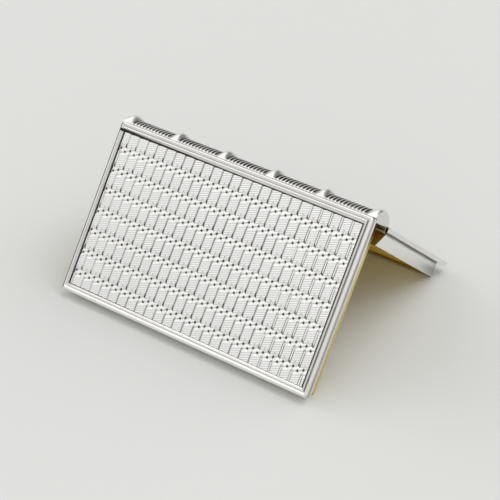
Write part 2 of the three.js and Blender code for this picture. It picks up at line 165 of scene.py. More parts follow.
# Darkness in each flute, a little off its middle: tarnish and painted shade
DARK_FLUTE_MIDDLE = 0.38
DARK_FLUTE_HALF = 0.3
DARK_FLUTE_EDGE = 0.12
CLEAN_HEAD = 0.3
CLEAN_HEAD_REACH = 0.06
SPINE_ARC_STEPS = 26
SPINE_BULGE = 0.75 * MM
SPINE_HEEL = 0.2 * MM
SPINE_FOOT_INSET = 0.27 * MM
SPINE_HEAD_GAP = 0.03 * MM

# Hinges, walls and grille
EASED_EDGE = 0.05 * MM
# Grime and painted shade along an axis: places on it, and how dark it is made there
CORNER_SEAM = ((-0.05 * MM, 0.0), (0.03 * MM, 1.4), (0.3 * MM, 1.4), (0.38 * MM, 0.0))
BEZEL_HINGE_SHADE = ((-4.0 * MM, 0.0), (-2.0 * MM, 0.8), (-0.5 * MM, 1.4))
WALL_FOOT_SHADE = ((0.05 * MM, 0.65), (0.2 * MM, 0.45), (0.36 * MM, 0.0))
RIM_FACING = 0.9
HINGE_SIDE_FACING = 0.5
ROUND_STEPS = 40
TUBE_EDGE = 0.04 * MM
TUBE_GRIME = 0.2
# Painted shade on the tubes' end faces and in their bores
TUBE_END_SHADE = 1.4
BORE_SHADE = 1.6
MAIN_PIN_PLAY = 0.03 * MM
GRILLE_PIN_PLAY = 0.02 * MM
PIN_DOME = 0.06 * MM
# A pin's end: shares of its radius and of its dome's height, and the grime there
PIN_END = ((0.4, 0.0, 0.9), (0.85, 0.3, 1.0), (1.0, 1.0, 1.0))
FLOWER_COUNTS = {"Columns": 7, "Rows": 3, "Steps": 20}
FLOWER_SIZES = {
    "Pitch X": 4.5 * MM, "Pitch Y": 4.8 * MM, "Petal start": 0.35 * MM, "Petal end": 2.05 * MM,
    "Petal spread": 1.05 * MM, "Eyelet radius": 0.5 * MM}
GRILLE_CORNER = 0.8 * MM
GRILLE_EDGE = 0.03 * MM

# Sponge
SPONGE_STEP = 0.3 * MM
SPONGE_LAYERS = 4
SPONGE_SQUARENESS = 14
SPONGE_EDGE_POWER = 8
SPONGE_EDGE_DROP = 0.28
SPONGE_CROWN = 0.06
SPONGE_WAIST = 0.012
SPONGE_SIDE_POWER = 5
PORE_DEPTH = 0.08 * MM
PORE_SIZE = 0.45 * MM
PORE_FROM = 0.1
LUMP_SIZE = 2.5 * MM
SPONGE_CELL = 0.5 * MM
SPONGE_CELL_DEPTH = 0.1 * MM

# Finishes
# Patchiness of the tarnish and painted shade in the hollows
GRIME_PATCH = 3.0 * MM
GRIME_LEAST = 0.6
GRIME_UNEVENNESS = 0.8
HAIRLINE_SIZE = 0.05 * MM
HAIRLINE_DEPTH = 0.01 * MM
HAIRLINE_STRETCH = (0.08, 1.0, 1.0)
HAIRLINE_TURN = (0.0, 0.35, 0.6)
SMEAR_ROUGHNESS = 0.14
GRIME_ROUGHNESS = 0.3
SILVER_SLOT = "silver"
TURNED_SLOT = "turned_silver"
GILT_SLOT = "gilt"
STEEL_SLOT = "steel"
SPONGE_SLOT = "sponge"

# Table and light; a window has a bearing and a height in degrees, and a strength
TABLE_HALF = 2.0
TABLE_TONES = ((0.72, 0.725, 0.705, 1.0), (0.735, 0.74, 0.725, 1.0))
TABLE_CLOUDS = 6.0
ROOM_COLOUR = (1.0, 1.0, 0.99, 1.0)
ROOM_LIGHT = 0.06
SOFT_WINDOWS = ((64, 50, 2.84), (180, 18, 2.0), (240, 18, 0.98), (300, 18, 1.3), (0, 8, 0.7))
WINDOW_SOFTNESS = 6.0
WALL_LIGHT = 0.7
CEILING_LIGHT = 1.23
CEILING_FROM = 0.35
CEILING_FULL = 0.75
DARK_DOORWAY = (0.55, 0.7, 0.456)
DOORWAY_LIGHT = 0.25
DOORWAY_FROM = 0.62
DOORWAY_FULL = 0.93


# Places of the two halves: each has its own frame with its origin on the hinge pin,
# X along the hinge, Y from the fore edge to the spine and Z up through the closed book

record = frame["record"]
mount_axis = {mount["name"]: Vector(mount["axis"]) for mount in record["mounts"]}
hinge_place = {joint["name"]: Vector(joint["pos_m"]) for joint in record["behaviour"]["joints"]}
front_axis = mount_axis["front_border_crown"]
back_axis = mount_axis["back_border_crown"]
pin_place = Matrix.Translation(hinge_place["lid_hinge"])
lid_place = pin_place @ Matrix.Rotation(math.atan2(-front_axis.y, front_axis.z), 4, "X")
box_place = pin_place @ Matrix.Rotation(math.atan2(back_axis.y, -back_axis.z), 4, "X")


def local_box(place, *nodes):
    """Lowest and highest corner of CAD nodes in the frame of one half."""
    back = place.inverted()
    points = [back @ vertex.co for node in nodes for vertex in frame["nodes"][node].data.vertices]
    low = Vector(min(point[axis] for point in points) for axis in range(3))
    high = Vector(max(point[axis] for point in points) for axis in range(3))
    return low, high


def round_radius(place, node):
    """Radius of a round CAD node that lies along X."""
    low, high = local_box(place, node)
    return (high.z - low.z) / 2


# Node trees


class Output:
    """An output of a node; arithmetic with it adds math nodes to the node's tree."""

    def __init__(self, tree, socket):
        self.tree = tree
        self.socket = socket

    def work(self, operation, *others):
        return Node(self.tree, "ShaderNodeMath", self, *others, operation=operation)[0]

    def after(self, operation, other):
        return Node(self.tree, "ShaderNodeMath", other, self, operation=operation)[0]

    def __add__(self, other):
        return self.work("ADD", other)

    def __radd__(self, other):
        return self.after("ADD", other)

    def __sub__(self, other):
        return self.work("SUBTRACT", other)

    def __rsub__(self, other):
        return self.after("SUBTRACT", other)

    def __mul__(self, other):
        return self.work("MULTIPLY", other)

    def __truediv__(self, other):
        return self.work("DIVIDE", other)

    def __rtruediv__(self, other):
        return self.after("DIVIDE", other)

    def __mod__(self, other):
        return self.work("FLOORED_MODULO", other)

    def __pow__(self, other):
        return self.work("POWER", other)

    def __gt__(self, other):
        return self.work("GREATER_THAN", other)

    def __lt__(self, other):
        return self.work("LESS_THAN", other)

    def __abs__(self):
        return self.work("ABSOLUTE")

    def __floor__(self):
        return self.work("FLOOR")

    def __round__(self):
        return self.work("ROUND")


class Node:
    """A new node in a tree; values go on its inputs in order, and on named inputs and settings."""

    def __init__(self, tree, kind, *values, **named):
        self.tree = tree
        self.made = tree.nodes.new(kind)
        fill(self.made, **named)
        for socket, value in zip(self.made.inputs, values):
            feed(socket, value)

    def __getitem__(self, output):
        return Output(self.tree, self.made.outputs[output])


def feed(socket, value):
    """Links an output to an input, or puts a plain value on it."""
    if isinstance(value, Output):
        value.tree.links.new(value.socket, socket)
    else:
        socket.default_value = value


def fill(made, **named):
    """Sets a node up: a name with a capital is one of its inputs, any other one of its settings."""
    for name, value in named.items():
        if name[0].isupper():
            feed(made.inputs[name.replace("_", " ")], value)
        else:
            setattr(made, name, value)


def larger(first, second):
    return first.work("MAXIMUM", second)


def clamped(value):
    return larger(value.work("MINIMUM", 1.0), 0.0)


def fraction(value):
    return value.work("FRACT")


def arch(share):
    """Half a wave: nought at both ends of a stretch and one in its middle."""
    return larger((share * math.pi).work("SINE"), 0.0)


def at(count, number):
    """One where a count is at a number, else nought."""
    return count.work("COMPARE", number, 0.5)


def choose(switch, when_on, when_off):
    return when_off + switch * (when_on - when_off)


def node_group(name, kind, inputs, outputs):
    """An empty node group, and the node that holds what it is given; sockets are named with their kinds."""
    group = bpy.data.node_groups.new(name, kind)
    for in_out, sockets in (("INPUT", inputs), ("OUTPUT", outputs)):
        for socket, socket_kind in sockets.items():
            group.interface.new_socket(socket, in_out=in_out, socket_type="NodeSocket" + socket_kind)
    return group, Node(group, "NodeGroupInput")


def shape_tree(name, sizes, counts, takes_mesh=False):
    """An empty Geometry Nodes tree with named sizes, counts and a material."""
    inputs = {"Geometry": "Geometry"} if takes_mesh else {}
    inputs |= dict.fromkeys(sizes, "Float") | dict.fromkeys(counts, "Int") | {"Material": "Material"}
    return node_group(name, "GeometryNodeTree", inputs, {"Geometry": "Geometry"})


def end_shape(tree, given, geometry):
    """Closes a shape tree: instances made real, then the material."""
    real = Node(tree, "GeometryNodeRealizeInstances", Geometry=geometry)["Geometry"]
    dressed = Node(tree, "GeometryNodeSetMaterial", Geometry=real, Material=given["Material"])
    Node(tree, "NodeGroupOutput", Geometry=dressed["Geometry"])


def point_place(tree):
    return Node(tree, "ShaderNodeSeparateXYZ", Node(tree, "GeometryNodeInputPosition")[0])


def numbered_grid(tree, columns, rows):
    """A grid of one step per face, with each point's column and row number."""
    grid = Node(tree, "GeometryNodeMeshGrid", Size_X=columns, Size_Y=rows,
                Vertices_X=columns + 1.0, Vertices_Y=rows + 1.0)
    point = point_place(tree)
    return grid["Mesh"], round(point["X"] + columns / 2.0), round(point["Y"] + rows / 2.0)


def hollowed(tree, mesh, hollow, x, y, z):
    """Stores how deep each point lies, then moves the points to their places."""
    stored = Node(tree, "GeometryNodeStoreNamedAttribute", data_type="FLOAT", domain="POINT",
                  Geometry=mesh, Name="hollow", Value=hollow)["Geometry"]
    place = Node(tree, "ShaderNodeCombineXYZ", x, y, z)[0]
    return Node(tree, "GeometryNodeSetPosition", Geometry=stored, Position=place)["Geometry"]


def grown_mesh(tree, values, start=None):
    """Runs a shape tree with its inputs set and returns the result as a plain mesh."""
    carrier = bpy.data.objects.new("carrier", start or bpy.data.meshes.new("carrier"))
    bpy.context.scene.collection.objects.link(carrier)
    modifier = carrier.modifiers.new("shape", "NODES")
    modifier.node_group = tree
    for item in tree.interface.items_tree:
        if item.in_out == "INPUT" and item.name in values:
            modifier[item.identifier] = values[item.name]
    graph = bpy.context.evaluated_depsgraph_get()
    mesh = bpy.data.meshes.new_from_object(carrier.evaluated_get(graph))
    carrier.modifiers.remove(modifier)
    bpy.data.objects.remove(carrier)
    return mesh


# Finishes


def object_place(tree):
    return Node(tree, "ShaderNodeTexCoord")["Object"]


def clouds(tree, place, scale, detail):
    return Node(tree, "ShaderNodeTexNoise", Vector=place, Scale=scale, Detail=detail)[0]


def mixed(tree, share, first, second):
    """A colour that goes from the first to the second; a Mix node has its colours on inputs 6 and 7."""
    mix = Node(tree, "ShaderNodeMix", data_type="RGBA", Factor=share)
    feed(mix.made.inputs[6], first)
    feed(mix.made.inputs[7], second)
    return mix[2]


def tarnish_and_shade_group():
    """Mask of the tarnish that polishing leaves in the hollows, and of the painted shade put there too."""
    group, given = node_group(
        "tarnish_and_shade", "ShaderNodeTree", {"Amount": "Float", "Patch size": "Float"}, {"Grime": "Float"})
    depth = Node(group, "ShaderNodeAttribute", attribute_name="hollow")["Fac"]
    patches = clouds(group, object_place(group), 1.0 / given["Patch size"], 3.0)
    grime = depth * (GRIME_LEAST + patches * GRIME_UNEVENNESS) * given["Amount"]
    Node(group, "NodeGroupOutput", Grime=grime.work("MINIMUM", 1.0))
    return group


def hand_polish_group():
    """Cloudy smears and fine hairlines of a surface that is rubbed by hand."""
    group, given = node_group(
        "hand_polish", "ShaderNodeTree", {"Smear size": "Float", "Hairline size": "Float"},
        {"Smear": "Float", "Hairline": "Float"})
    place = object_place(group)
    stretched = Node(
        group, "ShaderNodeMapping", Vector=place, Scale=HAIRLINE_STRETCH, Rotation=HAIRLINE_TURN)[0]
    smear = clouds(group, place, 1.0 / given["Smear size"], 4.0)
    hairline = clouds(group, stretched, 1.0 / given["Hairline size"], 2.0)
    Node(group, "NodeGroupOutput", Smear=smear, Hairline=hairline)
    return group


TARNISH_AND_SHADE = tarnish_and_shade_group()
HAND_POLISH = hand_polish_group()


def blank_material(name):
    material = bpy.data.materials.new(name)
    material.use_nodes = True
    return material, material.node_tree, material.node_tree.nodes["Principled BSDF"]


def metal_material(name, bright, dull, tarnish_and_shade_colour, roughness, tarnish_and_shade_amount, smear_size, hairline):
    """Polished metal with smears, hairlines, and tarnish and painted shade in its hollows."""
    material, tree, shader = blank_material(name)
    polish = Node(tree, "ShaderNodeGroup", node_tree=HAND_POLISH,
                  Smear_size=smear_size, Hairline_size=HAIRLINE_SIZE)
    dark = Node(tree, "ShaderNodeGroup", node_tree=TARNISH_AND_SHADE,
                Amount=tarnish_and_shade_amount, Patch_size=GRIME_PATCH)["Grime"]
    smear = polish["Smear"]
    tone = mixed(tree, smear, (*bright, 1.0), (*dull, 1.0))
    bump = Node(tree, "ShaderNodeBump",
                Strength=hairline, Distance=HAIRLINE_DEPTH, Height=polish["Hairline"])
    fill(shader, Base_Color=mixed(tree, dark, tone, (*tarnish_and_shade_colour, 1.0)), Metallic=1.0,
         Roughness=roughness + smear * SMEAR_ROUGHNESS + dark * GRIME_ROUGHNESS, Normal=bump[0])
    return material


SILVER = metal_material(
    "worn_silver", bright=(0.9, 0.895, 0.88), dull=(0.83, 0.82, 0.8), tarnish_and_shade_colour=(0.045, 0.04, 0.034),
    roughness=0.13, tarnish_and_shade_amount=0.95, smear_size=2.5 * MM, hairline=0.1)
TURNED_SILVER = metal_material(
    "turned_silver", bright=(0.9, 0.895, 0.885), dull=(0.85, 0.845, 0.83), tarnish_and_shade_colour=(0.08, 0.075, 0.07),
    roughness=0.18, tarnish_and_shade_amount=1.0, smear_size=4.0 * MM, hairline=0.05)
GILT = metal_material(
    "satin_gilt", bright=(1.0, 0.78, 0.16), dull=(0.9, 0.69, 0.11), tarnish_and_shade_colour=(0.1, 0.05, 0.01),
    roughness=0.36, tarnish_and_shade_amount=0.8, smear_size=2.0 * MM, hairline=0.2)
PALE_GILT = metal_material(
    "pale_gilt", bright=(0.86, 0.73, 0.28), dull=(0.76, 0.63, 0.23), tarnish_and_shade_colour=(0.1, 0.05, 0.01),
    roughness=0.34, tarnish_and_shade_amount=0.8, smear_size=2.0 * MM, hairline=0.2)
# A darker copy of gilt for the page wall's rim and hinge side: painted shade
SHADED_GILT = metal_material(
    "shaded_gilt", bright=(0.5, 0.31, 0.05), dull=(0.3, 0.17, 0.03), tarnish_and_shade_colour=(0.05, 0.03, 0.01),
    roughness=0.45, tarnish_and_shade_amount=0.8, smear_size=1.0 * MM, hairline=0.2)
STEEL = metal_material(
    "drawn_steel", bright=(0.5, 0.49, 0.47), dull=(0.38, 0.37, 0.35), tarnish_and_shade_colour=(0.03, 0.027, 0.024),
    roughness=0.3, tarnish_and_shade_amount=0.8, smear_size=0.6 * MM, hairline=0.2)


def sponge_material():
    """Dry natural sponge: tan, darker in its pores."""
    material, tree, shader = blank_material("dry_sponge")
    pores = Node(tree, "ShaderNodeTexVoronoi", Vector=object_place(tree), Scale=1.0 / SPONGE_CELL)["Distance"]
    ramp = Node(tree, "ShaderNodeValToRGB", Fac=pores)
    deep, shallow = ramp.made.color_ramp.elements
    deep.color = (0.22, 0.13, 0.05, 1.0)
    shallow.color = (0.62, 0.46, 0.24, 1.0)
    shallow.position = 0.55
    bump = Node(tree, "ShaderNodeBump", Strength=0.8, Distance=SPONGE_CELL_DEPTH, Height=pores)
    fill(shader, Base_Color=ramp["Color"], Roughness=0.95, Normal=bump[0])
    return material


SPONGE = sponge_material()


# Pieces


def add_piece(name, mesh, body, slot, *nodes):
    """Makes a finished mesh a piece of the object that rides on a body."""
    mesh.name = name
    made = bpy.data.objects.new(name, mesh)
    bpy.context.scene.collection.objects.link(made)
    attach(made, body)
    if nodes:
        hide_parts(*nodes)
    return made


def shape_of(mesh):
    shape = bmesh.new()
    shape.from_mesh(mesh)
    return shape


def merged(mesh):
    """A bmesh of a mesh, in which points that lie together are one."""
    shape = shape_of(mesh)
    bmesh.ops.remove_doubles(shape, verts=shape.verts, dist=MERGE_DISTANCE)
    return shape


def mesh_of(shape, materials, place=None):
    """A plain mesh from a bmesh, put in its place."""
    mesh = bpy.data.meshes.new("piece")
    bmesh.ops.recalc_face_normals(shape, faces=shape.faces)
    shape.to_mesh(mesh)
    shape.free()
    for material in materials:
        mesh.materials.append(material)
    if place:
        mesh.transform(place)
    return mesh


def shade(mesh, sharp_angle=None):
    """Smooth faces, with edges kept sharp past an angle; flat faces without one."""
    mesh.polygons.foreach_set("use_smooth", [sharp_angle is not None] * len(mesh.polygons))
    if sharp_angle is not None:
        mesh.set_sharp_from_angle(angle=math.radians(sharp_angle))
    mesh.update()
    return mesh


def ease_edges(shape, past_angle, width, segments):
    """Bevels the edges that are sharper than an angle."""
    sharp = [edge for edge in shape.edges if len(edge.link_faces) == 2]
    sharp = [edge for edge in sharp if edge.calc_face_angle() > math.radians(past_angle)]
    bmesh.ops.bevel(
        shape, geom=sharp, offset=width, segments=segments, profile=0.5, affect="EDGES", clamp_overlap=True)


def cut_across(shape, point, away, drop_outside=False):
    """Cuts a bmesh along a plane, and can drop what lies beyond it."""
    geometry = shape.verts[:] + shape.edges[:] + shape.faces[:]
    bmesh.ops.bisect_plane(shape, geom=geometry, plane_co=point, plane_no=away, clear_outer=drop_outside)


def rounded_outline(low, high, level, insets=(0.0,) * 4, corner=COVER_CORNER, side_steps=1):
    """Points at a level round a rectangle whose sides are set in, anticlockwise from the right."""
    right, upper, left, lower = insets
    radius = max(corner - min(insets), SMALLEST_CORNER)
    right_x = high.x - right - radius
    upper_y = high.y - upper - radius
    left_x = low.x + left + radius
    lower_y = low.y + lower + radius
    centres = [(right_x, upper_y), (left_x, upper_y), (left_x, lower_y), (right_x, lower_y)]
    points = []
    for quarter, (x, y) in enumerate(centres):
        for step in range(CORNER_STEPS + 1):
            turn = (quarter + step / CORNER_STEPS) * math.pi / 2
            points.append((x + radius * math.cos(turn), y + radius * math.sin(turn), level))
        end_x, end_y, level = points[-1]
        next_x, next_y = centres[(quarter + 1) % 4]
        for step in range(1, side_steps):
            share = step / side_steps
            points.append((end_x + share * (next_x - x), end_y + share * (next_y - y), level))
    return points


def skin(rings, closed):
    """Faces between rings of points; closed joins the last ring to the first, else both ends are capped."""
    shape = bmesh.new()
    loops = [[shape.verts.new(point) for point in ring] for ring in rings]
    count = len(loops[0])
    pairs = list(zip(loops, loops[1:]))
    if closed:
        pairs.append((loops[-1], loops[0]))
    for lower, upper in pairs:
        for here in range(count):
            there = (here + 1) % count
            shape.faces.new((lower[here], lower[there], upper[there], upper[here]))
    if not closed:
        shape.faces.new(loops[0])
        shape.faces.new(loops[-1])
    return shape, loops


def skin_with_hollows(rings, depths, closed, material, place, sharp_angle):
    """A skin as a finished mesh that knows how deep each of its points lies, which darkens it with tarnish
    and painted shade.
    """
    shape, loops = skin(rings, closed)
    mesh = mesh_of(shape, [material], place)
    mesh.attributes.new("hollow", "FLOAT", "POINT").data.foreach_set("value", depths)
    return shade(mesh, sharp_angle)


def cover_plate(low, high, lining, place):
    """A cover's plate with rounded corners and eased edges, gilt inside its walls on the inner face."""
    edge = COVER_EDGE
    rings = [rounded_outline(*lining, low.z)]
    for inset, level in ((edge, low.z), (0.0, low.z + edge), (0.0, high.z - edge), (edge, high.z)):
        rings.append(rounded_outline(low, high, level, (inset,) * 4))
    shape, loops = skin(rings, closed=False)
    inner = set(loops[0])
    for face in shape.faces:
        face.material_index = 1 if all(vertex in inner for vertex in face.verts) else 0
    return shade(mesh_of(shape, [SILVER, GILT], place), 35)


def bead_points(start, end, foot, crown):
    """Half-round bead of a border's section, a little flat on its crown."""
    middle = (start + end) / 2
    half = (end - start) / 2
    points = []
    for step in range(BEAD_STEPS + 1):
        turn = math.pi * step / BEAD_STEPS
        across = -math.copysign(abs(math.cos(turn)) ** (2 / BEAD_FULLNESS), math.cos(turn))
        up = max(math.sin(turn), 0.0) ** (2 / BEAD_FULLNESS)
        points.append((middle + half * across, foot + (crown - foot) * up))
    return points


def border_section(height):
    """Border from its outer edge in: share of its width, height, part, and how dark it is made there."""
    inner_start = OUTER_BEAD_SHARE + BEAD_GROOVE_SHARE
    inner_end = inner_start + INNER_BEAD_SHARE
    groove = BEAD_GROOVE_LEVEL * height
    outer_bead = bead_points(0.0, OUTER_BEAD_SHARE, OUTER_BEAD_FOOT * height, height)[:BEAD_STEPS - 1]
    inner_bead = bead_points(inner_start, inner_end, groove, INNER_BEAD_LEVEL * height)[1:BEAD_STEPS]
    section = [(0.0, -BORDER_SINK, EDGE_PART, 1.0)]
    section += [(*point, EDGE_PART, darkness) for point, darkness in zip(outer_bead, EDGE_GRIME_AND_SHADE)]
    section += [(*point, BEAD_PART, 1.0) for point in outer_bead[len(EDGE_GRIME_AND_SHADE):]]
    section.append((OUTER_BEAD_SHARE + BEAD_GROOVE_SHARE / 2, groove, GROOVE_PART, 1.0))
    section += [(*point, GROOVE_PART, darkness) for point, darkness in zip(inner_bead, GROOVE_GRIME)]
    section += [(*point, BEAD_PART, 1.0) for point in inner_bead[len(GROOVE_GRIME):]]
    for share, level in SLOPE_POINTS:
        rise = TURNING_TOP + level * (height - TURNING_TOP)
        section.append((inner_end + (1 - inner_end) * share, rise, SLOPE_PART, share))
    section.append((1.0, -BORDER_SINK, SLOPE_PART, 1.0))
    return section


def side_share(share, bead_share):
    """Where a part of the section lies on a side whose outer bead takes its own share of the width."""
    if share < OUTER_BEAD_SHARE:
        return share * bead_share / OUTER_BEAD_SHARE
    return 1 - (1 - share) * (1 - bead_share) / (1 - OUTER_BEAD_SHARE)


def border_ring(low, high, widths, bead_shares, side_grime_and_shade, place):
    """A moulded border round a cover, standing on the plate's face at the foot of its box."""
    depths = []
    rings = []
    for share, level, part, darkness in border_section(high.z - low.z):
        insets = [width * side_share(share, bead) for width, bead in zip(widths, bead_shares)]
        ring = rounded_outline(low, high, low.z + level, insets, side_steps=BORDER_SIDE_STEPS)
        rings.append(ring)
        for index, point in enumerate(ring):
            quarter, step = divmod(index, CORNER_STEPS + BORDER_SIDE_STEPS)
            side = quarter if 2 * step < CORNER_STEPS else quarter + 1
            *part_grime_and_shade, slope_fade_left, slope_fade_right = side_grime_and_shade[side % 4]
            darkness_here = darkness
            # The slope's tarnish and painted shade grows towards the panel and is made lighter along the side
            if part == SLOPE_PART:
                along = (point[0] - low.x) / (high.x - low.x)
                slope_fade = slope_fade_left + (slope_fade_right - slope_fade_left) * min(1.0, along / SLOPE_FADE_BY)
                darkness_here = min(1.0, max(0.0, (darkness - slope_fade) / SLOPE_FADE_EDGE))
            depths.append(darkness_here * part_grime_and_shade[part])
    return skin_with_hollows(rings, depths, True, SILVER, place, 50)


def engine_turning_tree():
    """Cut lines that climb to the right and drop back at every column.

    Seven lines make a block, and their drops join to a dark stroke. Two lines between two blocks make a
    rope: chains of dots climb from the top of one stroke to the foot of another, one and a half columns
    on, and the land between two chains leans to the spine.
    """
    tree, given = shape_tree("engine_turning", [*TURNING_SIZES, "Left", "Top"], ["Half columns", "Lines"])
    pitch = given["Column pitch"]
    line_pitch = given["Line pitch"]
    run_gap = given["Run gap"]
    drop = given["Drop width"]
    spread = given["Dot spread"]
    rows = given["Lines"] * LINE_ROWS
    mesh, column, row = numbered_grid(tree, given["Half columns"] * COLUMN_CUTS, rows)
    row = rows - row
    half = math.floor(column / COLUMN_CUTS)
    cut = column - half * COLUMN_CUTS
    half_pitch = pitch / 2
    between_dots = half_pitch - (drop + spread * 4)
    across = half * half_pitch + cut.work("MINIMUM", 2) * (drop / 2)
    for start, step in ((2.5, spread), (3.5, spread), (4.5, between_dots), (5.5, spread)):
        across = across + (cut > start) * step
    breadth = given["Half columns"] * half_pitch
    single = at(cut, 1) + (at(cut, 0) + at(cut, 2)) * STROKE_SIDES
    stroke_shape = choose(across > breadth * DOUBLED_FROM, at(cut, 0) + at(cut, 3), single)

    def lowered(line, runs):
        """Height of a line at the middle of its drop."""
        return given["Top"] - (line * line_pitch + runs * run_gap) + given["Line rise"] / 2

    def cut_line(line):
        """Height of a line at this column, and the stroke that its drop leaves there."""
        cycle = math.floor(line / CYCLE_LINES)
        place = line - cycle * CYCLE_LINES
        first_run = place > BLOCK_LINES - 0.5
        runs = cycle * CYCLE_RUNS + first_run + (place > BLOCK_LINES + 0.5)
        turn = fraction(across / pitch + (runs % 2) / 2)
        drop_share = drop / pitch
        falling = 1 - turn / drop_share
        rising = (turn - drop_share) / (1 - drop_share)
        climb = choose(turn < drop_share, falling, rising)
        level = lowered(line, runs) + (climb - 0.5) * given["Line rise"]
        in_phase = 1 - (half + runs) % 2
        return level, in_phase * stroke_shape * (1 - first_run)

    line = math.floor(row / LINE_ROWS)
    row_in_line = row - line * LINE_ROWS
    below_line = row_in_line / LINE_ROWS
    ridge = row_in_line.work("MINIMUM", 1)
    level, stroke = cut_line(line)
    next_level, next_stroke = cut_line(line + 1)
    y = choose(below_line, next_level, level)
    stroke = choose(below_line, next_stroke, stroke)

    cycle = math.floor(line / CYCLE_LINES)
    place = line - cycle * CYCLE_LINES + below_line
    in_rope = place > BLOCK_LINES - 0.75
    by_rope = place > BLOCK_LINES - 1.75
    next_cycle = cycle + 1
    foot = lowered(next_cycle * CYCLE_LINES, next_cycle * CYCLE_RUNS)
    rope_height = line_pitch * (CYCLE_LINES - BLOCK_LINES + 1) + run_gap * CYCLE_RUNS
    climb = (y - foot) / rope_height
    turn = (across - drop / 2) / pitch
    chain = turn - (next_cycle % 2) / 2 - climb * CHAIN_COLUMNS
    chain_rise = rope_height / CHAIN_COLUMNS
    past_chain = chain - round(chain)
    past_half = turn - round(turn * 2) / 2
    dot_x = past_half * pitch * DOT_SLIMNESS
    dot_y = (past_half - past_chain) * chain_rise
    to_dot = (dot_x * dot_x + dot_y * dot_y).work("SQRT")
    size = FIRST_DOT_SIZE
    for climbed, change in DOT_SIZE_CHANGES:
        size = size + (climb > climbed) * change
    dot = clamped(0.5 + (size * given["Dot radius"] - to_dot) / given["Dot edge"])
    link = clamped(1 - abs(past_chain) * chain_rise / (given["Dot edge"] * LINK_SPREAD))

    room = clamped((level - next_level) / line_pitch)
    depth = choose(ridge, (1 - room) * CROWDED_DEPTH, 1)
    in_block = depth * given["Groove depth"] + stroke * given["Drop depth"]
    on_land = (1 - fraction(chain)) * given["Land lean"] + dot * given["Drop depth"]
    from_left = across / (breadth * LEFT_FADE_REACH)
    kept = clamped(LEFT_END_DARKNESS + from_left * (1 - LEFT_END_DARKNESS))
    block_hollow = kept * ((1 - ridge) * LINE_GRIME + stroke * STROKE_GRIME)
    stroke_foot = clamped(stroke * FOOT_SPREAD)
    block_hollow = larger(block_hollow, larger(dot, stroke_foot) * by_rope * DOT_GRIME)
    land_hollow = dot * DOT_GRIME + link * kept * LINK_GRIME
    hollow = choose(in_rope, land_hollow, block_hollow)
    z = choose(in_rope, on_land, in_block) * -1
    end_shape(tree, given, hollowed(tree, mesh, hollow, given["Left"] + across, y, z))
    return tree


ENGINE_TURNING = engine_turning_tree()


def turned_panel(low, high, borders, place):
    """Engine-turned skin on a panel that is given by its plate's box in a frame that faces +Z."""
    right, upper, left, lower = borders
    panel_depth = high.y - low.y - upper - lower
    cycle_pitch = CYCLE_LINES * LINE_PITCH + CYCLE_RUNS * RUN_GAP
    lines = CYCLE_LINES * panel_depth / cycle_pitch + SPARE_LINES
    shape = shape_of(grown_mesh(ENGINE_TURNING, TURNING_SIZES | {
        "Left": low.x + left + FIRST_COLUMN - COLUMN_PITCH - DROP_WIDTH / 2,
        "Top": high.y - upper - FIRST_LINE,
        "Half columns": HALF_COLUMNS, "Lines": int(lines), "Material": TURNED_SILVER}))
    for vertex in shape.verts:
        vertex.co.z += high.z + TURNING_TOP
    inner_low = Vector((low.x + left - PANEL_OVERLAP, low.y + lower - PANEL_OVERLAP, 0.0))
    inner_high = Vector((high.x - right + PANEL_OVERLAP, high.y - upper + PANEL_OVERLAP, 0.0))
    for point, away in ((inner_low, -1), (inner_high, 1)):
        cut_across(shape, point, (away, 0, 0), drop_outside=True)
        cut_across(shape, point, (0, away, 0), drop_outside=True)
    rim = [edge for edge in shape.edges if edge.is_boundary]
    skirt = bmesh.ops.extrude_edge_only(shape, edges=rim)["geom"]
    for item in skirt:
        if isinstance(item, bmesh.types.BMVert):
            item.co.z = high.z - TURNING_SINK
    bottom = [item for item in skirt if isinstance(item, bmesh.types.BMEdge) and item.is_boundary]
    bmesh.ops.holes_fill(shape, edges=bottom, sides=0)
    return shade(mesh_of(shape, [TURNED_SILVER], place))


